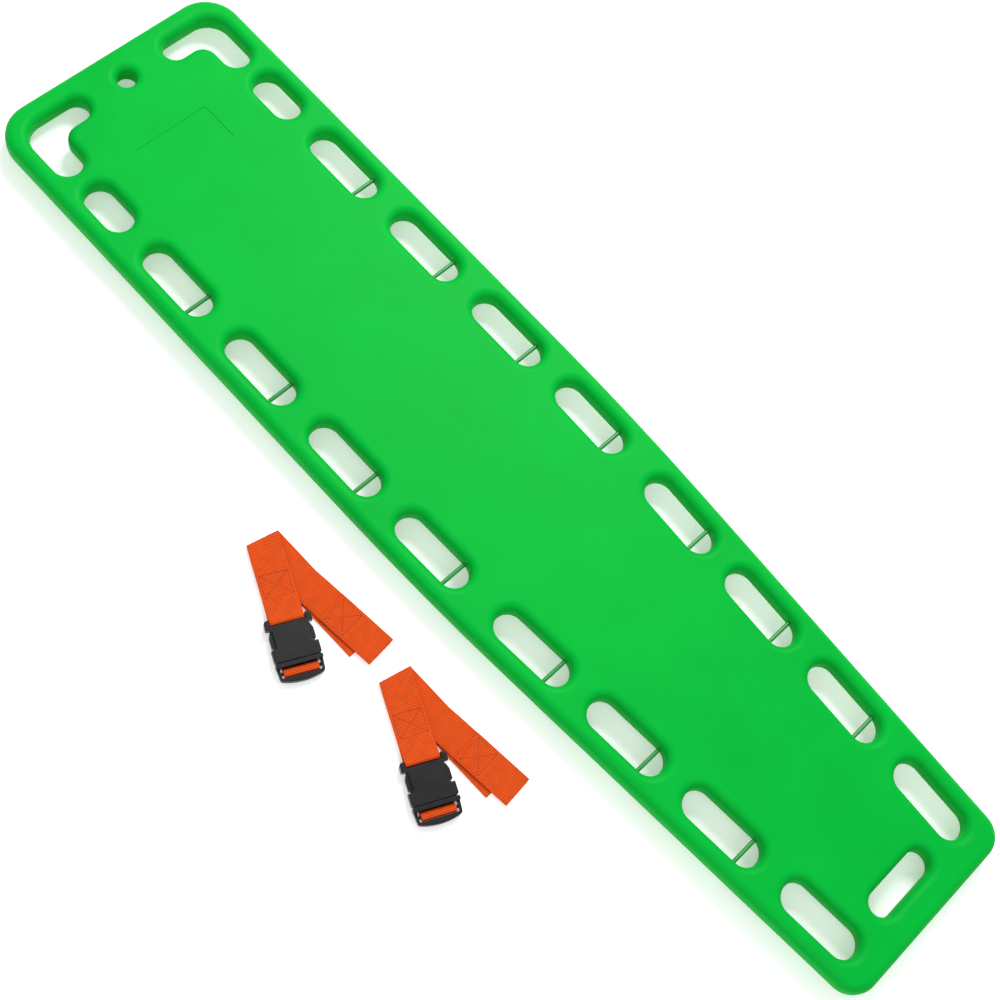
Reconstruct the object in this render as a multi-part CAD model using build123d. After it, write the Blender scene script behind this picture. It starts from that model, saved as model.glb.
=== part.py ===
from build123d import *
import os
from math import asin, atan2, cos, degrees, pi, radians, sin, sqrt, tan

# Spine board: a foam-filled moulded board with hand slots, clip pins and two folded straps.
# +X runs from the head to the foot, +Z is up, and the origin is the middle of the resting face.

# Board outline
BOARD_L = 1840.0
HEAD_W = 450.0
TAPER_START = -80.0        # where the straight head part starts to curve in
TAPER_END = 250.0          # where the side runs straight again, down to the foot
TAPER_ANGLE = 3.5
HEAD_CORNER_R = 62.0
FOOT_CORNER_R = 40.0

# Board thickness: a plate with raised hand rails over a lower resting pad
PLATE_T = 38.0
PAD_DROP = 12.0
RIM_R = 14.0
SKIN_T = 5.0
SKIN_AT_RIM = 10.0
PAD_INSET = 104.0
PAD_HEAD_GAP = 185.0
PAD_FOOT_GAP = 122.0
PAD_CORNER_R = 30.0
PAD_EDGE_R = 5.0

# Label recess near the head, left bare
RECESS_L = 72.0
RECESS_W = 143.0
RECESS_HEAD_GAP = 173.0
RECESS_SHIFT = -8.0
RECESS_DEPTH = 0.7
RECESS_CORNER_R = 5.0

# Hand slots along both sides, numbered from the head
SLOT_W = 49.0
SLOT_L = 139.0
FIRST_SLOT_L = 93.0
LAST_SLOT_L = 134.0
SLOT_INSET = 54.0          # from the board's edge to the slot's middle line
FIRST_SLOT_X = -695.0
UPPER_SLOT_X = -532.0
UPPER_PITCH = 192.0
UPPER_COUNT = 4
LOWER_SLOT_X = 252.0
LOWER_PITCH = 185.7
LOWER_COUNT = 4

# Clip pins across the foot-ward end of slots 2 to 8
PIN_D = 6.5
PIN_SEAT = 9.0

# Corner handholds at the head
CORNER_HEAD_GAP = 36.0     # board end to the hole
CORNER_SIDE_GAP = 31.0     # board side to the hole
CORNER_CROSS_W = 41.0
CORNER_SIDE_W = 48.0
CORNER_HEAD_REACH = 146.0  # from the board's side to the inner tip
CORNER_SIDE_REACH = 147.0  # from the board's head end to the rear tip
CORNER_OUTER_R = 38.0
CORNER_INNER_R = 26.0

# Round hole at the head and cross slot at the foot
HEAD_HOLE_D = 30.0
HEAD_HOLE_X = -864.0
FOOT_SLOT_W = 39.0
FOOT_SLOT_L = 121.0
FOOT_SLOT_X = 852.5

# Moulding ports in the resting pad
FILL_PLUG_D = 26.0
VENT_PLUG_D = 16.0
PORT_X = 560.0
VENT_X = -520.0
PLUG_T = 8.0
PLUG_HEAD_T = 2.0
PLUG_HEAD_EXTRA = 3.0

# Webbing
WEB_W = 52.0
WEB_T = 1.5
LAYER_GAP = 0.3
FLOOR_GAP = 0.3

# Straps: two alike, on the floor beside the board
STRAP_COUNT = 2
STRAP_PITCH_X = 282.0
STRAP_PITCH_Y = 7.4
FOLD_X = -139.4
FOLD_Y = -338.3
BUCKLE_DIR = -25.5
SOCKET_WEB_DIR = 0.5       # socket-side strap after the fold
PLUG_WEB_DIR = 5.3         # plug-side strap after the fold
PLUG_FOLD_INSET = 13.0
SOCKET_WEB_REACH = 217.0
PLUG_WEB_REACH = 231.7
LOOP_L = 99.0
SEWN_L = 81.0
CROSSING_L = 100.0
WEB_RAMP = 22.0

# Buckle, measured along the strap from the fold
BUCKLE_START = 125.5
SOCKET_L = 66.0
BUCKLE_W = 70.0
BUCKLE_T = 14.0
BUCKLE_Z = 4.2
BUCKLE_CORNER_R = 5.0
BUCKLE_EDGE_R = 1.6
BUCKLE_WALL = 2.5
EAR_L = 10.0
EAR_W = 8.0
BAR_D = 5.0
BAR_SETBACK = 4.6
CAVITY_W = 58.0
CAVITY_PAST = 2.0          # how far the hollow runs on past the scallops
SCALLOP_L = 31.0
SCALLOP_DEPTH = 8.0
SCALLOP_CORNER_R = 4.6
SCALLOP_GAP = 14.5         # from the socket's pad end to the scallop
COLLAR_L = 6.5
FRAME_L = 31.0
FRAME_T = 9.0
FRAME_SIDE = 5.0
END_BOW = 6.0
END_TAPER = 2.0
WINDOW_L = 15.0
PRONG_W = 12.0
PRONG_L = 40.0
PLAY = 0.5
ARM_T = 3.6
ARM_ROOT_V = 20.5
ARM_TIP_V = 22.0
PAD_PROUD_V = 33.0
ARM_ROOT_GAP = 0.4
ARM_ROOT_INSET = 4.0

PLATE_Z0 = PAD_DROP
PLATE_Z1 = PAD_DROP + PLATE_T
MID_Z = PAD_DROP + PLATE_T / 2
HEAD_X = -BOARD_L / 2
FOOT_X = BOARD_L / 2
BIG = 4000.0


def side_edge(x):
    """Half-width and direction of the board's side at x."""
    radius = (TAPER_END - TAPER_START) / sin(radians(TAPER_ANGLE))
    run = min(max(x - TAPER_START, 0.0), TAPER_END - TAPER_START)
    y = HEAD_W / 2 - (radius - sqrt(radius * radius - run * run))
    y -= max(x - TAPER_END, 0.0) * tan(radians(TAPER_ANGLE))
    return y, -degrees(asin(run / radius))


def board_outline():
    """Plan of the board: straight head part, gentle curve, straight taper and rounded corners."""
    curve_y, _ = side_edge(TAPER_END)
    foot_y, _ = side_edge(FOOT_X)
    middle = (TAPER_START + TAPER_END) / 2
    side = [
        Line((HEAD_X, 0), (HEAD_X, HEAD_W / 2)),
        Line((HEAD_X, HEAD_W / 2), (TAPER_START, HEAD_W / 2)),
        ThreePointArc((TAPER_START, HEAD_W / 2), (middle, side_edge(middle)[0]), (TAPER_END, curve_y)),
        Line((TAPER_END, curve_y), (FOOT_X, foot_y)),
        Line((FOOT_X, foot_y), (FOOT_X, 0)),
    ]
    face = make_face(side + [mirror(line, about=Plane.XZ) for line in side])
    head = [v for v in face.vertices() if abs(v.X - HEAD_X) < 1 and abs(v.Y) > 1]
    face = fillet(head, HEAD_CORNER_R)
    foot = [v for v in face.vertices() if abs(v.X - FOOT_X) < 1 and abs(v.Y) > 1]
    return fillet(foot, FOOT_CORNER_R)


def slot_places():
    """Stations along the side with each slot's length; the pinned ones are the middle seven."""
    upper = [(UPPER_SLOT_X + i * UPPER_PITCH, SLOT_L) for i in range(UPPER_COUNT)]
    lower = [(LOWER_SLOT_X + i * LOWER_PITCH, SLOT_L) for i in range(LOWER_COUNT - 1)]
    last = [(LOWER_SLOT_X + (LOWER_COUNT - 1) * LOWER_PITCH, LAST_SLOT_L)]
    return [(FIRST_SLOT_X, FIRST_SLOT_L)] + upper + lower + last


def slot_middle(station):
    """Centre and direction of the slot that follows the side at a station."""
    y, angle = side_edge(station)
    turn = radians(angle)
    return station + SLOT_INSET * sin(turn), y - SLOT_INSET * cos(turn), angle


def hand_slots(grow):
    """Plan of all the side slots, each larger by grow all round."""
    plan = Sketch()
    for station, length in slot_places():
        x, y, angle = slot_middle(station)
        shape = SlotOverall(length + 2 * grow, SLOT_W + 2 * grow)
        plan += Pos(x, y) * Rot(0, 0, angle) * shape
        plan += Pos(x, -y) * Rot(0, 0, -angle) * shape
    return plan


def corner_handhold(grow):
    """Plan of the bent handhold in the +Y head corner, larger by grow all round."""
    cross_r = CORNER_CROSS_W / 2 + grow
    side_r = CORNER_SIDE_W / 2 + grow
    x0 = HEAD_X + CORNER_HEAD_GAP - grow
    x1 = HEAD_X + CORNER_SIDE_REACH + grow
    y0 = HEAD_W / 2 - CORNER_HEAD_REACH - grow
    y1 = HEAD_W / 2 - CORNER_SIDE_GAP + grow
    xc = x0 + 2 * cross_r
    yc = y1 - 2 * side_r
    outline = [
        ThreePointArc((x0, y0 + cross_r), (x0 + cross_r, y0), (xc, y0 + cross_r)),
        Line((xc, y0 + cross_r), (xc, yc)),
        Line((xc, yc), (x1 - side_r, yc)),
        ThreePointArc((x1 - side_r, yc), (x1, y1 - side_r), (x1 - side_r, y1)),
        Line((x1 - side_r, y1), (x0, y1)),
        Line((x0, y1), (x0, y0 + cross_r)),
    ]
    plan = make_face(outline)
    plan = fillet([v for v in plan.vertices() if abs(v.X - xc) + abs(v.Y - yc) < 1], CORNER_INNER_R - grow)
    return fillet([v for v in plan.vertices() if abs(v.X - x0) + abs(v.Y - y1) < 1], CORNER_OUTER_R + grow)


def holes(grow):
    """Plan of every opening through the board, larger by grow all round."""
    corner = corner_handhold(grow)
    plan = hand_slots(grow) + corner + mirror(corner, about=Plane.XZ)
    plan += Pos(HEAD_HOLE_X, 0) * Circle(HEAD_HOLE_D / 2 + grow)
    foot = SlotOverall(FOOT_SLOT_L + 2 * grow, FOOT_SLOT_W + 2 * grow)
    return plan + Pos(FOOT_SLOT_X, 0) * Rot(0, 0, 90) * foot


def resting_pad(inset, z0, z1):
    """The lower middle of the board that it rests on, inside the rows of slots."""
    x0 = HEAD_X + PAD_HEAD_GAP + inset
    x1 = FOOT_X - PAD_FOOT_GAP - inset
    y0 = side_edge(x0)[0] - PAD_INSET - inset
    y1 = side_edge(x1)[0] - PAD_INSET - inset
    knee = TAPER_START
    yk = side_edge(knee)[0] - PAD_INSET - inset
    half = [(x0, -y0), (x0, y0), (knee, yk), (x1, y1), (x1, -y1), (knee, -yk)]
    face = make_face(Polyline(*half, close=True))
    face = fillet([v for v in face.vertices() if abs(v.X - knee) > 1], PAD_CORNER_R - inset)
    return Pos(0, 0, z0) * extrude(face, z1 - z0)


def label_recess():
    plan = RectangleRounded(RECESS_L, RECESS_W, RECESS_CORNER_R)
    x = HEAD_X + RECESS_HEAD_GAP + RECESS_L / 2
    return Pos(x, RECESS_SHIFT, PLATE_Z1 - RECESS_DEPTH) * extrude(plan, BIG / 100)


def pin_places():
    """Middle of each clip pin on the +Y side, with the number of its slot."""
    found = []
    for number, (station, length) in enumerate(slot_places(), start=1):
        if length == SLOT_L:
            x, y, angle = slot_middle(station)
            reach = (length - SLOT_W) / 2
            turn = radians(angle)
            found.append((number, x + reach * cos(turn), y + reach * sin(turn)))
    return found


def clip_pin(x, y):
    span = SLOT_W + 2 * PIN_SEAT
    return Pos(x, y, MID_Z) * Rot(90, 0, 0) * Cylinder(PIN_D / 2, span)


def port_plug(x, diameter):
    """A press-in plug that closes a moulding port: a stem with a low head."""
    depth = PLUG_T - PLUG_HEAD_T
    head = Cylinder(diameter / 2 + PLUG_HEAD_EXTRA, PLUG_HEAD_T, align=(Align.CENTER, Align.CENTER, Align.MIN))
    stem = Cylinder(diameter / 2, depth, align=(Align.CENTER, Align.CENTER, Align.MIN))
    return Pos(x, 0, 1) * (head + Pos(0, 0, PLUG_HEAD_T) * stem)


def core():
    """Rigid foam that fills the skin."""
    plan = offset(board_outline(), -SKIN_AT_RIM) - holes(SKIN_AT_RIM)
    body = Pos(0, 0, PLATE_Z0 + SKIN_T) * extrude(plan, PLATE_T - 2 * SKIN_T)
    return body + resting_pad(SKIN_T, SKIN_T, PLATE_Z0 + SKIN_T + 1)


def skin(foam, pins, plugs):
    """Moulded skin: rounded rails and rims all round, less the foam, the pins and the ports."""
    plate = Pos(0, 0, PLATE_Z0) * extrude(board_outline() - holes(0), PLATE_T)
    rims = plate.faces().sort_by(Axis.Z)[-1].edges() + plate.faces().sort_by(Axis.Z)[0].edges()
    plate = fillet(rims, RIM_R)
    pad = resting_pad(0, 0, PLATE_Z0 + SKIN_T)
    pad = fillet(pad.faces().sort_by(Axis.Z)[0].edges(), PAD_EDGE_R)
    body = plate + pad - label_recess() - foam
    for piece in pins + plugs:
        body -= piece
    return body


def ribbon(profile, width):
    """A flat strap run: its side view in X and Z, drawn out across its width."""
    face = make_face(Polyline(*[(u, 0, z) for u, z in profile], close=True))
    return extrude(face, width / 2, both=True)


def strap_fold(mean_r, centre_z, length):
    """Half-round of webbing where a strap doubles back on itself."""
    ring = Circle(mean_r + WEB_T / 2) - Circle(mean_r - WEB_T / 2)
    half = ring & Pos(-BIG / 2, 0) * Rectangle(BIG, BIG)
    return Pos(0, 0, centre_z) * extrude(Plane.XZ * half, length / 2, both=True)


def folded_strap(leg, back, leg_dir, back_dir, mean_r, centre_z):
    """Two runs that meet at a fold along the line between their directions."""
    fold_dir = (leg_dir + back_dir) / 2
    length = WEB_W / cos(radians(back_dir - leg_dir) / 2)
    keep = Pos(BIG / 2, 0, 0) * Box(BIG, BIG, BIG)
    runs = Rot(0, 0, leg_dir - fold_dir) * leg + Rot(0, 0, back_dir - fold_dir) * back
    return Rot(0, 0, fold_dir) * (runs & keep) + Rot(0, 0, fold_dir) * strap_fold(mean_r, centre_z, length)


def round_bar(u, z, diameter, width):
    return Pos(u, 0, z) * Rot(90, 0, 0) * Cylinder(diameter / 2, width)


def layer_z(level):
    """Underside of a webbing layer, counted from the floor."""
    return FLOOR_GAP + level * (WEB_T + LAYER_GAP)


def socket_webbing():
    """Outer strap: sewn round the socket's bar, folded over, with a loop at its far end."""
    low = layer_z(3)
    sewn = BUCKLE_START + BAR_SETBACK - SEWN_L
    bar_u, bar_z = BUCKLE_START + BAR_SETBACK, BUCKLE_Z + BUCKLE_T / 2
    outer = BAR_D / 2 + WEB_T
    leg = ribbon([
        (-40, low),
        (CROSSING_L, low),
        (bar_u, bar_z - outer),
        (bar_u, bar_z + outer),
        (CROSSING_L, low + 2 * WEB_T),
        (sewn, low + 2 * WEB_T),
        (sewn, low + WEB_T),
        (-40, low + WEB_T),
    ], WEB_W)
    leg += round_bar(bar_u, bar_z, 2 * outer, WEB_W)
    leg -= round_bar(bar_u, bar_z, BAR_D, BUCKLE_W)
    end = SOCKET_WEB_REACH
    floor = layer_z(0)
    back = ribbon([
        (-40, floor),
        (end, floor),
        (end, floor + 2 * WEB_T),
        (end - LOOP_L, floor + 2 * WEB_T),
        (end - LOOP_L, floor + WEB_T),
        (-40, floor + WEB_T),
    ], WEB_W)
    mean_r = (low - floor) / 2
    centre_z = (low + floor + WEB_T) / 2
    return folded_strap(leg, back, BUCKLE_DIR, SOCKET_WEB_DIR, mean_r, centre_z)


def plug_webbing():
    """Inner strap: from the plug's bar, under the buckle, folded over, with a loop at its end."""
    low = layer_z(2)
    floor = layer_z(0)
    back_z = layer_z(1)
    down = CROSSING_L + WEB_RAMP - PLUG_FOLD_INSET
    bar_u, bar_z = plug_bar()
    bar_u -= PLUG_FOLD_INSET
    outer = BAR_D / 2 + WEB_T
    tail = bar_u - SEWN_L + WEB_RAMP
    leg = ribbon([
        (-40, low),
        (CROSSING_L - PLUG_FOLD_INSET, low),
        (down, floor),
        (bar_u - outer, floor),
        (bar_u + outer, bar_z),
        (bar_u - outer, bar_z),
        (bar_u - 2 * outer, floor + 2 * WEB_T),
        (tail, floor + 2 * WEB_T),
        (tail, floor + WEB_T),
        (down, floor + WEB_T),
        (CROSSING_L - PLUG_FOLD_INSET, low + WEB_T),
        (-40, low + WEB_T),
    ], WEB_W)
    leg += round_bar(bar_u, bar_z, 2 * outer, WEB_W)
    leg -= round_bar(bar_u, bar_z, BAR_D, BUCKLE_W)
    end = PLUG_WEB_REACH
    rise = floor + 2 * WEB_T + LAYER_GAP
    ramp = CROSSING_L - PLUG_FOLD_INSET
    back = ribbon([
        (-40, back_z),
        (ramp, back_z),
        (ramp + WEB_RAMP / 2, rise),
        (end, rise),
        (end, rise + 2 * WEB_T),
        (end - LOOP_L, rise + 2 * WEB_T),
        (end - LOOP_L, rise + WEB_T),
        (ramp + WEB_RAMP / 2, rise + WEB_T),
        (ramp, back_z + WEB_T),
        (-40, back_z + WEB_T),
    ], WEB_W)
    mean_r = (low - back_z) / 2
    centre_z = (low + back_z + WEB_T) / 2
    return folded_strap(leg, back, BUCKLE_DIR, PLUG_WEB_DIR, mean_r, centre_z)


def plug_bar():
    """Place of the plug's bar along the strap, and its height."""
    window_end = BUCKLE_START + SOCKET_L + COLLAR_L + PLAY + WINDOW_L
    return window_end - WINDOW_L / 2, BUCKLE_Z + FRAME_T / 2


def scallops(grow):
    """The finger cut-outs in both sides of the socket."""
    u = BUCKLE_START + SCALLOP_GAP + SCALLOP_L / 2
    cut = RectangleRounded(SCALLOP_L + 2 * grow, 2 * SCALLOP_DEPTH + 2 * grow, SCALLOP_CORNER_R + grow)
    return Pos(u, BUCKLE_W / 2) * cut + Pos(u, -BUCKLE_W / 2) * cut


def buckle_socket():
    """Hollow half of the buckle: ears and a bar for the webbing, open towards the plug."""
    mid = BUCKLE_START + SOCKET_L / 2
    plan = Pos(mid, 0) * RectangleRounded(SOCKET_L, BUCKLE_W, BUCKLE_CORNER_R)
    plan -= scallops(0)
    body = Pos(0, 0, BUCKLE_Z) * extrude(plan, BUCKLE_T)
    rims = body.faces().sort_by(Axis.Z)[-1].edges() + body.faces().sort_by(Axis.Z)[0].edges()
    body = fillet(rims, BUCKLE_EDGE_R)
    depth = SOCKET_L - SCALLOP_GAP + CAVITY_PAST
    mouth = Box(depth, CAVITY_W, BUCKLE_T - 2 * BUCKLE_WALL)
    body -= Pos(BUCKLE_START + SOCKET_L - depth / 2, 0, BUCKLE_Z + BUCKLE_T / 2) * mouth
    notch = Box(EAR_L, BUCKLE_W - 2 * EAR_W, BUCKLE_T * 2)
    body -= Pos(BUCKLE_START + EAR_L / 2, 0, BUCKLE_Z + BUCKLE_T / 2) * notch
    bar_u = BUCKLE_START + BAR_SETBACK
    return body + round_bar(bar_u, BUCKLE_Z + BUCKLE_T / 2, BAR_D, BUCKLE_W - EAR_W)


def buckle_plug():
    """Inserted half: collar, guide prong and a low frame with the bar that the webbing turns on."""
    u0 = BUCKLE_START + SOCKET_L + PLAY
    u1 = u0 + COLLAR_L
    u2 = u0 + FRAME_L - PLAY
    half = BUCKLE_W / 2
    outline = [
        Line((u0, half), (u0, -half)),
        Line((u0, -half), (u2 - END_BOW, END_TAPER - half)),
        ThreePointArc((u2 - END_BOW, END_TAPER - half), (u2, 0), (u2 - END_BOW, half - END_TAPER)),
        Line((u2 - END_BOW, half - END_TAPER), (u0, half)),
    ]
    plan = make_face(outline)
    plan = fillet([v for v in plan.vertices() if v.X > u0 + 1], BUCKLE_CORNER_R)
    frame = Pos(0, 0, BUCKLE_Z) * extrude(plan, FRAME_T)
    frame = fillet(frame.faces().sort_by(Axis.Z)[-1].edges(), BUCKLE_EDGE_R)
    window = Box(WINDOW_L, BUCKLE_W - 2 * FRAME_SIDE, 3 * FRAME_T)
    frame -= Pos(u1 + WINDOW_L / 2, 0, BUCKLE_Z) * window
    collar = RectangleRounded(COLLAR_L, BUCKLE_W, BUCKLE_EDGE_R)
    collar = Pos(u0 + COLLAR_L / 2, 0, BUCKLE_Z) * extrude(collar, BUCKLE_T)
    collar = fillet(collar.faces().sort_by(Axis.Z)[-1].edges(), BUCKLE_EDGE_R / 2)
    bar_u, bar_z = plug_bar()
    depth = BUCKLE_T - 2 * BUCKLE_WALL - 2 * PLAY
    prong = Box(PRONG_L + COLLAR_L / 2, PRONG_W, depth)
    prong = Pos(u0 - PRONG_L / 2 + COLLAR_L / 4, 0, BUCKLE_Z + BUCKLE_T / 2) * prong
    prong = chamfer(prong.faces().sort_by(Axis.X)[0].edges(), PRONG_W / 8)
    return frame + collar + prong + round_bar(bar_u, bar_z, BAR_D, BUCKLE_W - FRAME_SIDE)


def arm_root():
    """Where the side arm flexes: just inside the socket's mouth."""
    return BUCKLE_START + SOCKET_L - ARM_ROOT_INSET, ARM_ROOT_V


def latch_arm():
    """Side arm at +Y: a thin beam that ends in the press pad, which fills the scallop."""
    u0 = BUCKLE_START + SCALLOP_GAP + PLAY
    u1 = u0 + SCALLOP_L - 2 * PLAY
    root_u = BUCKLE_START + SOCKET_L + PLAY - ARM_ROOT_GAP
    beam = Polyline(
        (root_u, ARM_ROOT_V - ARM_T / 2),
        (root_u, ARM_ROOT_V + ARM_T / 2),
        (u1, ARM_TIP_V + ARM_T / 2),
        (u1, CAVITY_W / 2 - 2 * PLAY),
        (u1 - 4, PAD_PROUD_V),
        (u0 + 11, PAD_PROUD_V),
        (u0 + 3, CAVITY_W / 2 + 1),
        (u0, ARM_TIP_V + ARM_T / 2),
        (u0, ARM_TIP_V - ARM_T / 2),
        close=True,
    )
    plan = make_face(beam)
    pad = [v for v in plan.vertices() if v.Y > CAVITY_W / 2 + PLAY]
    plan = fillet(pad, 2.5)
    depth = BUCKLE_T - 2 * BUCKLE_WALL - 2 * PLAY
    return Pos(0, 0, BUCKLE_Z + BUCKLE_WALL + PLAY) * extrude(plan, depth)


def write(name, shape):
    export_step(shape, "parts/%s.step" % name)


def make_board():
    foam = core()
    pins = {}
    for number, x, y in pin_places():
        pins["clip_pin_%d_right" % number] = clip_pin(x, y)
        pins["clip_pin_%d_left" % number] = clip_pin(x, -y)
    fill = port_plug(PORT_X, FILL_PLUG_D)
    vent = port_plug(VENT_X, VENT_PLUG_D)
    write("board_skin", skin(foam, list(pins.values()), [fill, vent]))
    write("foam_core", foam - fill - vent)
    write("fill_plug", fill)
    write("vent_plug", vent)
    for name, pin in pins.items():
        write(name, pin)


def make_strap(number):
    place = Pos(FOLD_X + (number - 1) * STRAP_PITCH_X, FOLD_Y + (number - 1) * STRAP_PITCH_Y, 0)
    buckle_place = place * Rot(0, 0, BUCKLE_DIR)
    inner_place = buckle_place * Pos(PLUG_FOLD_INSET, 0, 0) * Rot(0, 0, -BUCKLE_DIR)
    arm = latch_arm()
    write("strap_%d_socket_webbing" % number, place * socket_webbing())
    write("strap_%d_plug_webbing" % number, inner_place * plug_webbing())
    write("strap_%d_buckle_socket" % number, buckle_place * buckle_socket())
    write("strap_%d_buckle_plug" % number, buckle_place * buckle_plug())
    write("strap_%d_latch_arm_right" % number, buckle_place * arm)
    write("strap_%d_latch_arm_left" % number, buckle_place * mirror(arm, about=Plane.XZ))


os.makedirs("parts", exist_ok=True)
make_board()
for strap_number in range(1, STRAP_COUNT + 1):
    make_strap(strap_number)
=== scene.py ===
from math import cos, pi, radians, sin

import bmesh
import bpy
from mathutils import Matrix, Vector


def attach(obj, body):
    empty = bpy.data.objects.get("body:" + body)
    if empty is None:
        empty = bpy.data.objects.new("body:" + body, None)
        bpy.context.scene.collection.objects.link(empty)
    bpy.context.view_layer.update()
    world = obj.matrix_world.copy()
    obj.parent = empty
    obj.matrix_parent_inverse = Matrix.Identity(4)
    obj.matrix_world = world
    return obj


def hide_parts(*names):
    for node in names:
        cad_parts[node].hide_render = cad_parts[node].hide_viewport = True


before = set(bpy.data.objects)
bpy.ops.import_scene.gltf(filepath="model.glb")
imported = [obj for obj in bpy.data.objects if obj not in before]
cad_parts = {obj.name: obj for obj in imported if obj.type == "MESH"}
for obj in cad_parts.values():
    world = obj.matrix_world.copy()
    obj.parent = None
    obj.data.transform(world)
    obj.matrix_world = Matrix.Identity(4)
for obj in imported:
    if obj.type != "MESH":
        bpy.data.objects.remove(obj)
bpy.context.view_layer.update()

# Everything is in metres, in the frame of the board: +X towards the foot, +Z up.

UP = Vector((0, 0, 1))
WHITE = (1, 1, 1, 1)

# Camera
CAMERA_AT = Vector((0.4260, -0.9517, 2.2575))
CAMERA_FORWARD = Vector((-0.15497, 0.37713, -0.91310))
CAMERA_RIGHT = Vector((0.68349, 0.70829, 0.17654))
CAMERA_LENS = 58.03
CAMERA_SENSOR_W = 36.0
CAMERA_REACH = 50.0

# Light
KEY_AT = (-1.3, 2.4, 3.2)
KEY_SIZE = 1.6
KEY_POWER = 165
FILL_AT = (1.8, -2.2, 3.0)
FILL_SIZE = 3.0
FILL_POWER = 40
SURROUND_GLOW = 0.62
FLOOR_REACH = 12.0
FLOOR_WHITE = (0.93, 0.93, 0.93, 1)
FLOOR_GLOW = 0.33

# Colours
BOARD_GREEN = (0.0, 0.385, 0.034, 1)
PIN_GREEN = (0.01, 0.24, 0.035, 1)
PORT_GREEN = (0.0, 0.27, 0.022, 1)
WEBBING_ORANGE = (0.78, 0.080, 0.003, 1)
WEBBING_SHADE = (0.86, 0.86, 0.86, 1)
THREAD_ORANGE = (0.30, 0.02, 0.002, 1)
BUCKLE_BLACK = (0.004, 0.004, 0.0045, 1)

# Surfaces
GLOSSIER = 0.06
DULLER = 0.08
RELIEF_DEPTH = 0.0004
ONE_BAND_SCALE = pi / 10
RAMP_START = 0.3
RAMP_STOP = 0.7

# Webbing
WEB_W = 0.052
WEB_T = 0.0015
CLOTH_T = WEB_T * 0.94
LAYER_GAP = 0.0003
FLOOR_GAP = 0.0003
RIB_PITCH = 0.0031
YARN_PITCH = RIB_PITCH * 1.25
EDGE_BEVEL = 0.0005
EDGE_ANGLE = radians(60)
ROW_STEP = 0.002
COLUMNS = 14

# Layers of webbing at the fold, from the floor up
SOCKET_BACK_LAYER = 0
PLUG_BACK_LAYER = 1
PLUG_LEG_LAYER = 2
SOCKET_LEG_LAYER = 3

# Straps
STRAPS = (1, 2)
STRAP_PITCH = Vector((0.282, 0.0074, 0))
FOLD_AT = Vector((-0.1394, -0.3383, 0))
BUCKLE_DIR = radians(-25.5)
SOCKET_WEB_DIR = radians(0.5)
PLUG_WEB_DIR = radians(5.3)
PLUG_FOLD_INSET = 0.013
SOCKET_WEB_REACH = 0.217
PLUG_WEB_REACH = 0.2317
LOOP_L = 0.099
SEWN_L = 0.081
CROSSING_L = 0.100
WEB_RAMP = 0.022

# Buckle
BAR_R = 0.0025
SOCKET_BAR_U = 0.1301
SOCKET_BAR_Z = 0.0112
SOCKET_LAP_INSET = 0.001
PLUG_BAR_U = 0.2060
PLUG_BAR_Z = 0.0087
PLUG_FLAT = 0.0028
PLUG_LAP_NEAR = 2.2
PLUG_LAP_FAR = 3.4
PLUG_LAP_LIFT = 1.8

# Bends
BAR_STEPS = 14
LOOP_STEPS = 8
EASE_STEPS = 7
EASE_SHARE = 0.45
SHORTEST_SPAN = 1e-9

# Stitching
STITCH_L = 0.0029
STITCH_R = 0.00045
STITCH_PITCH = 0.0042
STITCH_INSET = 0.0045
STITCH_SIDES = 6
STITCH_RINGS = ((-0.5, 0.25), (-0.3, 1.0), (0.3, 1.0), (0.5, 0.25))
STITCH_PROBE = 0.0005
BOX_L = 0.036
BOX_INSET = 0.006


def node_material(name):
    material = bpy.data.materials.new(name)
    material.use_nodes = True
    tree = material.node_tree
    return material, tree, tree.nodes["Principled BSDF"]


def add_node(tree, kind, **values):
    """Adds a shader node; each value is one of its inputs or else one of its settings."""
    node = tree.nodes.new(kind)
    for key, value in values.items():
        if key in node.inputs:
            node.inputs[key].default_value = value
        else:
            setattr(node, key, value)
    return node


def colour_range(tree, factor, low, high):
    """A soft change between two colours along a factor."""
    ramp = add_node(tree, "ShaderNodeValToRGB")
    ramp.color_ramp.elements[0].position = RAMP_START
    ramp.color_ramp.elements[1].position = RAMP_STOP
    ramp.color_ramp.elements[0].color = low
    ramp.color_ramp.elements[1].color = high
    tree.links.new(factor, ramp.inputs["Fac"])
    return ramp.outputs["Color"]


def scaled(colour, factor):
    return tuple(min(1.0, part * factor) for part in colour[:3]) + (1,)


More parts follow.
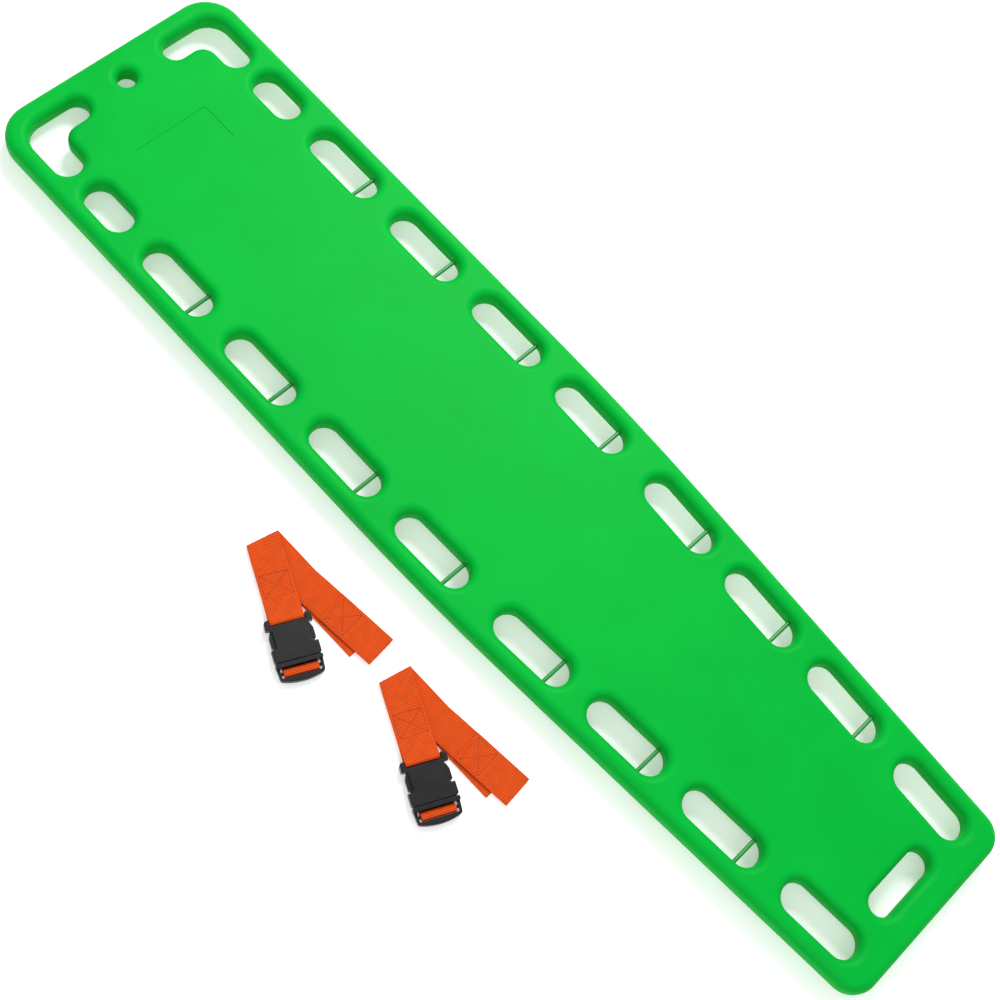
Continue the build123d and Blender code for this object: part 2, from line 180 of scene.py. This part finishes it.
def moulded_plastic(name, colour, roughness, spread, grain, grain_scale, wear_scale, specular):
    """Plastic with a slow colour drift, uneven gloss and a fine moulded grain."""
    material, tree, shader = node_material(name)
    place = add_node(tree, "ShaderNodeTexCoord").outputs["Object"]
    drift = add_node(tree, "ShaderNodeTexNoise", Scale=wear_scale, Detail=3.0)
    fine = add_node(tree, "ShaderNodeTexNoise", Scale=grain_scale, Detail=4.0)
    for node in (drift, fine):
        tree.links.new(place, node.inputs["Vector"])
    dark, light = scaled(colour, 1 - spread), scaled(colour, 1 + spread)
    tint = colour_range(tree, drift.outputs["Fac"], dark, light)
    tree.links.new(tint, shader.inputs["Base Color"])
    gloss = add_node(tree, "ShaderNodeMapRange")
    gloss.inputs["To Min"].default_value = roughness - GLOSSIER
    gloss.inputs["To Max"].default_value = roughness + DULLER
    tree.links.new(drift.outputs["Fac"], gloss.inputs["Value"])
    tree.links.new(gloss.outputs["Result"], shader.inputs["Roughness"])
    bump = add_node(tree, "ShaderNodeBump", Strength=grain, Distance=RELIEF_DEPTH)
    tree.links.new(fine.outputs["Fac"], bump.inputs["Height"])
    tree.links.new(bump.outputs["Normal"], shader.inputs["Normal"])
    shader.inputs["Specular IOR Level"].default_value = specular
    return material


def board_plastic():
    return moulded_plastic("board_plastic", BOARD_GREEN, roughness=0.46, spread=0.05, grain=0.25,
                           grain_scale=900.0, wear_scale=9.0, specular=0.05)


def pin_plastic():
    return moulded_plastic("pin_plastic", PIN_GREEN, roughness=0.36, spread=0.08, grain=0.15,
                           grain_scale=1500.0, wear_scale=40.0, specular=0.6)


def port_plastic():
    return moulded_plastic("port_plastic", PORT_GREEN, roughness=0.5, spread=0.06, grain=0.3,
                           grain_scale=1100.0, wear_scale=30.0, specular=0.5)


def buckle_plastic():
    return moulded_plastic("buckle_plastic", BUCKLE_BLACK, roughness=0.34, spread=0.12, grain=0.3,
                           grain_scale=2400.0, wear_scale=45.0, specular=0.3)


def wave(tree, place, axis, pitch):
    """Ribs across one direction of the strap's own length and width."""
    node = add_node(tree, "ShaderNodeTexWave", Scale=ONE_BAND_SCALE / pitch, Distortion=0.0)
    node.bands_direction = axis
    node.wave_profile = "SIN"
    tree.links.new(place, node.inputs["Vector"])
    return node.outputs["Fac"]


def webbing_fabric():
    """Woven webbing: cross ribs broken by lengthwise yarns, in relief and in colour, the colour
    being painted shade that darkens the grooves.
    """
    material, tree, shader = node_material("webbing_fabric")
    place = add_node(tree, "ShaderNodeUVMap").outputs["UV"]
    ribs = wave(tree, place, "X", RIB_PITCH)
    yarns = wave(tree, place, "Y", YARN_PITCH)
    weave = add_node(tree, "ShaderNodeMath", operation="MULTIPLY")
    tree.links.new(ribs, weave.inputs[0])
    tree.links.new(yarns, weave.inputs[1])
    relief = add_node(tree, "ShaderNodeMath", operation="ADD")
    tree.links.new(ribs, relief.inputs[0])
    tree.links.new(weave.outputs["Value"], relief.inputs[1])
    # painted shade: the weave's grooves are coloured 0.55 times as dark as the orange, following
    # the relief
    groove_painted_shade = scaled(WEBBING_ORANGE, 0.55)
    tint = colour_range(tree, relief.outputs["Value"], groove_painted_shade, WEBBING_ORANGE)
    uneven = add_node(tree, "ShaderNodeTexNoise", Scale=70.0, Detail=4.0)
    tree.links.new(place, uneven.inputs["Vector"])
    shade = colour_range(tree, uneven.outputs["Fac"], WEBBING_SHADE, WHITE)
    mixed = add_node(tree, "ShaderNodeMixRGB", blend_type="MULTIPLY", Fac=1.0)
    tree.links.new(tint, mixed.inputs["Color1"])
    tree.links.new(shade, mixed.inputs["Color2"])
    tree.links.new(mixed.outputs["Color"], shader.inputs["Base Color"])
    bump = add_node(tree, "ShaderNodeBump", Strength=0.7, Distance=RELIEF_DEPTH)
    tree.links.new(relief.outputs["Value"], bump.inputs["Height"])
    tree.links.new(bump.outputs["Normal"], shader.inputs["Normal"])
    shader.inputs["Roughness"].default_value = 0.72
    shader.inputs["Specular IOR Level"].default_value = 0.15
    shader.inputs["Sheen Weight"].default_value = 0.04
    return material


def thread():
    material, tree, shader = node_material("thread")
    place = add_node(tree, "ShaderNodeTexCoord").outputs["Object"]
    twist = add_node(tree, "ShaderNodeTexNoise", Scale=1800.0, Detail=2.0)
    tree.links.new(place, twist.inputs["Vector"])
    dark, light = scaled(THREAD_ORANGE, 0.7), scaled(THREAD_ORANGE, 1.2)
    tint = colour_range(tree, twist.outputs["Fac"], dark, light)
    tree.links.new(tint, shader.inputs["Base Color"])
    shader.inputs["Roughness"].default_value = 0.6
    return material


def floor_paint():
    material, _, shader = node_material("floor_paint")
    shader.inputs["Base Color"].default_value = FLOOR_WHITE
    shader.inputs["Roughness"].default_value = 0.9
    shader.inputs["Emission Color"].default_value = FLOOR_WHITE
    shader.inputs["Emission Strength"].default_value = FLOOR_GLOW
    return material


def add_piece(name, mesh, material):
    piece = bpy.data.objects.new(name, mesh)
    bpy.context.collection.objects.link(piece)
    mesh.materials.append(material)
    return piece


def layer_z(level):
    """Middle of a webbing layer, counted from the floor."""
    return FLOOR_GAP + level * (WEB_T + LAYER_GAP) + WEB_T / 2


def part_turn(u, z, radius, start, stop, count=BAR_STEPS):
    """Points round a centre, from one angle to another."""
    turns = [start + (stop - start) * i / count for i in range(count + 1)]
    return [(u + radius * cos(a), z + radius * sin(a)) for a in turns]


def along(points):
    """Running length at each point of a path."""
    reach = [0.0]
    for a, b in zip(points, points[1:]):
        reach.append(reach[-1] + ((b[0] - a[0]) ** 2 + (b[1] - a[1]) ** 2) ** 0.5)
    return reach


def at_length(points, reach, length):
    """Point of a path at a running length; past either end it carries on straight."""
    if length <= 0:
        return points[0][0] + length, points[0][1]
    i = 0
    while i < len(points) - 2 and length > reach[i + 1]:
        i += 1
    part = (length - reach[i]) / max(reach[i + 1] - reach[i], SHORTEST_SPAN)
    a, b = points[i], points[i + 1]
    return a[0] + (b[0] - a[0]) * part, a[1] + (b[1] - a[1]) * part


def eased(points):
    """Rounds the corners of a path, with each bend's ends on the corner's two runs."""
    out = [points[0]]
    for a, b, c in zip(points, points[1:], points[2:]):
        back, ahead = Vector(a) - Vector(b), Vector(c) - Vector(b)
        reach = min(back.length, ahead.length) * EASE_SHARE
        first = Vector(b) + back.normalized() * reach
        last = Vector(b) + ahead.normalized() * reach
        for i in range(EASE_STEPS + 1):
            t = i / EASE_STEPS
            out.append(tuple(first * (1 - t) ** 2 + Vector(b) * 2 * t * (1 - t) + last * t * t))
    return out + [points[-1]]


class Strap:
    """One piece of webbing: two runs, given by side views, that meet in a flat diagonal fold."""

    def __init__(self, leg, back, leg_dir, back_dir, top_z, low_z, origin):
        self.leg, self.back = leg, back
        self.leg_reach, self.back_reach = along(leg), along(back)
        self.fold_dir = (leg_dir + back_dir) / 2
        self.half = (leg_dir - back_dir) / 2
        self.radius = (top_z - low_z) / 2
        self.top_z = top_z
        self.origin = origin

    def place(self, n, t, z):
        """A point given square to the fold, along it and in height."""
        c, s = cos(self.fold_dir), sin(self.fold_dir)
        return Vector((n * c - t * s, n * s + t * c, z)) + self.origin

    def run(self, points, reach, angle, length, w):
        u, z = at_length(points, reach, length)
        return self.place(u * cos(angle) - w * sin(angle), u * sin(angle) + w * cos(angle), z)

    def point(self, m, w):
        """Where the webbing's own length m and width w lie; m is negative past the fold."""
        a = self.half
        d = m * cos(a) - w * sin(a)
        t = m * sin(a) + w * cos(a)
        if d >= 0:
            return self.run(self.leg, self.leg_reach, a, m, w)
        turn = -d / self.radius
        if turn <= pi:
            lift = self.radius * (1 - cos(turn))
            return self.place(-self.radius * sin(turn), t, self.top_z - lift)
        n = -d - pi * self.radius
        u = n * cos(a) - t * sin(a)
        across = n * sin(a) + t * cos(a)
        return self.run(self.back, self.back_reach, -a, u, across)

    def ends(self):
        """The webbing's own length at its far end and at its buckle end."""
        return -(self.back_reach[-1] + pi * self.radius), self.leg_reach[-1]

    def length(self):
        return self.leg_reach[-1] + self.back_reach[-1] + pi * self.radius


def strap_mesh(name, strap, material):
    """Lays the webbing out row by row and gives it its thickness."""
    start, stop = strap.ends()
    rows = int((stop - start) / ROW_STEP) + 1
    mesh = bpy.data.meshes.new(name)
    work = bmesh.new()
    uv = work.loops.layers.uv.new("UVMap")
    grid = []
    for i in range(rows + 1):
        m = start + (stop - start) * i / rows
        places = [(m, WEB_W * (j / COLUMNS - 0.5)) for j in range(COLUMNS + 1)]
        grid.append([(work.verts.new(strap.point(*place)), place) for place in places])
    for low, high in zip(grid, grid[1:]):
        for j in range(COLUMNS):
            corners = (low[j], high[j], high[j + 1], low[j + 1])
            face = work.faces.new([corner[0] for corner in corners])
            face.smooth = True
            for loop, corner in zip(face.loops, corners):
                loop[uv].uv = corner[1]
    work.to_mesh(mesh)
    work.free()
    piece = add_piece(name, mesh, material)
    thick = piece.modifiers.new("thickness", "SOLIDIFY")
    thick.thickness = CLOTH_T
    thick.offset = 0
    soft = piece.modifiers.new("edge", "BEVEL")
    soft.width = EDGE_BEVEL
    soft.segments = 2
    soft.limit_method = "ANGLE"
    soft.angle_limit = EDGE_ANGLE
    return piece


def stitch_lines(start, stop):
    """A sewn box with a cross, between two lengths along the webbing."""
    w = WEB_W / 2 - STITCH_INSET
    corners = [(start, -w), (stop, -w), (stop, w), (start, w)]
    lines = list(zip(corners, corners[1:] + corners[:1]))
    return lines + [(corners[0], corners[2]), (corners[1], corners[3])]


def add_stitch(work, at, direction, normal):
    """One thread stitch: a spindle that lies on the webbing."""
    side = normal.cross(direction).normalized()
    angles = [i * 2 * pi / STITCH_SIDES for i in range(STITCH_SIDES)]
    rings = []
    for part, size in STITCH_RINGS:
        centre = at + direction * STITCH_L * part
        spokes = [(side * cos(a) + normal * sin(a)) * STITCH_R * size for a in angles]
        rings.append([work.verts.new(centre + spoke) for spoke in spokes])
    for low, high in zip(rings, rings[1:]):
        for i in range(STITCH_SIDES):
            after = (i + 1) % STITCH_SIDES
            work.faces.new((low[i], low[after], high[after], high[i]))
    work.faces.new(list(reversed(rings[0])))
    work.faces.new(rings[-1])


def stitch_mesh(name, strap, boxes, material):
    """Thread on the upper side of each sewn stretch."""
    mesh = bpy.data.meshes.new(name)
    work = bmesh.new()
    for start, stop in boxes:
        for a, b in stitch_lines(start, stop):
            a, b = Vector(a), Vector(b)
            step = (b - a).normalized() * STITCH_PROBE
            count = int((b - a).length / STITCH_PITCH)
            for i in range(count):
                spot = a + (b - a) * (i + 0.5) / count
                at = strap.point(*spot)
                direction = (strap.point(*(spot + step)) - at).normalized()
                add_stitch(work, at + UP * WEB_T * 0.5, direction, UP)
    work.to_mesh(mesh)
    work.free()
    for polygon in mesh.polygons:
        polygon.use_smooth = True
    return add_piece(name, mesh, material)


def loop_end(end, z, stacked):
    """The sewn loop at the far end: the webbing turns over and lies on itself."""
    turn = part_turn(end, z + stacked / 2, stacked / 2, -pi / 2, pi / 2, LOOP_STEPS)
    return turn + [(end - LOOP_L, z + stacked)]


def socket_strap(origin):
    low, floor = layer_z(SOCKET_LEG_LAYER), layer_z(SOCKET_BACK_LAYER)
    wrap = BAR_R + WEB_T / 2
    leg = eased([(0, low), (CROSSING_L, low), (SOCKET_BAR_U, SOCKET_BAR_Z - wrap)])
    leg += part_turn(SOCKET_BAR_U, SOCKET_BAR_Z, wrap, -pi / 2, pi / 2)
    sewn = SOCKET_BAR_U - SEWN_L
    over = SOCKET_BAR_U - SOCKET_LAP_INSET
    leg += eased([(over, SOCKET_BAR_Z + wrap), (CROSSING_L, low + WEB_T), (sewn, low + WEB_T)])
    end = SOCKET_WEB_REACH - WEB_T
    back = [(0, floor)] + loop_end(end, floor, WEB_T)
    return Strap(leg, back, BUCKLE_DIR, SOCKET_WEB_DIR, low, floor, origin)


def plug_strap(origin):
    top, floor = layer_z(PLUG_LEG_LAYER), layer_z(SOCKET_BACK_LAYER)
    wrap = BAR_R + WEB_T / 2
    bar_u = PLUG_BAR_U - PLUG_FOLD_INSET
    drop = CROSSING_L - PLUG_FOLD_INSET
    under = [(0, top), (drop, top), (drop + WEB_RAMP, floor), (bar_u - wrap, floor)]
    leg = eased(under + [(bar_u + wrap, PLUG_BAR_Z - wrap)])
    leg += part_turn(bar_u + PLUG_FLAT, PLUG_BAR_Z, wrap, -pi / 4, pi / 2)
    leg += part_turn(bar_u - PLUG_FLAT, PLUG_BAR_Z, wrap, pi / 2, pi)
    leg.append((bar_u - wrap * PLUG_LAP_NEAR, floor + PLUG_LAP_LIFT * WEB_T))
    leg.append((bar_u - wrap * PLUG_LAP_FAR, floor + WEB_T))
    leg.append((bar_u - SEWN_L + WEB_RAMP, floor + WEB_T))
    rise = floor + 2 * WEB_T + LAYER_GAP
    low = layer_z(PLUG_BACK_LAYER)
    end = PLUG_WEB_REACH - WEB_T
    back = eased([(0, low), (drop, low), (drop + WEB_RAMP / 2, rise), (end - LOOP_L, rise)])
    back += loop_end(end, rise, WEB_T)
    return Strap(leg, back, BUCKLE_DIR, PLUG_WEB_DIR, top, low, origin)


def sewn_boxes(strap, half):
    """The sewn stretches: each strap's far loop, and the socket's lap over its bar."""
    far, tail = strap.ends()
    boxes = [(far + BOX_INSET, far + BOX_INSET + BOX_L)]
    if half == "socket":
        boxes.append((tail - BOX_INSET - BOX_L, tail - BOX_INSET))
    return boxes


def dress_strap(number, fabric, sewing):
    """Cloth and thread for one buckled strap."""
    prefix = "strap_%d" % number
    origin = FOLD_AT + STRAP_PITCH * (number - 1)
    inner = origin + Vector((cos(BUCKLE_DIR), sin(BUCKLE_DIR), 0)) * PLUG_FOLD_INSET
    for half, strap in (("socket", socket_strap(origin)), ("plug", plug_strap(inner))):
        node = "%s_%s_webbing" % (prefix, half)
        cloth = strap_mesh(node + "_cloth", strap, fabric)
        seams = stitch_mesh(node + "_stitches", strap, sewn_boxes(strap, half), sewing)
        for piece in (cloth, seams):
            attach(piece, prefix)
        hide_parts(node)
        strap.length()


def dress_board():
    """Plastics for the nodes that stay as they are built."""
    board, pin, port, black = board_plastic(), pin_plastic(), port_plastic(), buckle_plastic()
    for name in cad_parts:
        node = bpy.data.objects.get(name)
        if node is None or "webbing" in name:
            continue
        look = board
        if name.startswith("clip_pin"):
            look = pin
        elif name in ("fill_plug", "vent_plug"):
            look = port
        elif name.startswith("strap"):
            look = black
        for socket in node.material_slots:
            socket.material = look


def area_light(name, at, size, power):
    """A square light that faces the middle of the board."""
    data = bpy.data.lights.new(name, "AREA")
    data.size = size
    data.energy = power
    lamp = bpy.data.objects.new(name, data)
    lamp.location = at
    lamp.rotation_euler = (-Vector(at)).to_track_quat("-Z", "Y").to_euler()
    bpy.context.collection.objects.link(lamp)


def studio():
    """White floor, a soft key beyond the right side, a weak fill and an even white surround."""
    mesh = bpy.data.meshes.new("floor")
    r = FLOOR_REACH
    mesh.from_pydata([(-r, -r, 0), (r, -r, 0), (r, r, 0), (-r, r, 0)], [], [(0, 1, 2, 3)])
    floor = add_piece("floor", mesh, floor_paint())
    area_light("key", KEY_AT, KEY_SIZE, KEY_POWER)
    area_light("fill", FILL_AT, FILL_SIZE, FILL_POWER)
    world = bpy.data.worlds.new("surround")
    world.use_nodes = True
    background = world.node_tree.nodes["Background"]
    background.inputs["Color"].default_value = WHITE
    background.inputs["Strength"].default_value = SURROUND_GLOW
    bpy.context.scene.world = world
    bpy.context.scene.view_settings.view_transform = "Standard"


def camera():
    data = bpy.data.cameras.new("camera")
    data.lens = CAMERA_LENS
    data.sensor_width = CAMERA_SENSOR_W
    data.clip_end = CAMERA_REACH
    view = bpy.data.objects.new("camera", data)
    back = -CAMERA_FORWARD.normalized()
    right = CAMERA_RIGHT.normalized()
    up = back.cross(right)
    turned = Matrix((right, up, back)).transposed().to_4x4()
    view.matrix_world = Matrix.Translation(CAMERA_AT) @ turned
    bpy.context.collection.objects.link(view)
    bpy.context.scene.camera = view


camera()
studio()
dress_board()
webbing, sewing_thread = webbing_fabric(), thread()
for strap_number in STRAPS:
    dress_strap(strap_number, webbing, sewing_thread)

bpy.context.view_layer.update()
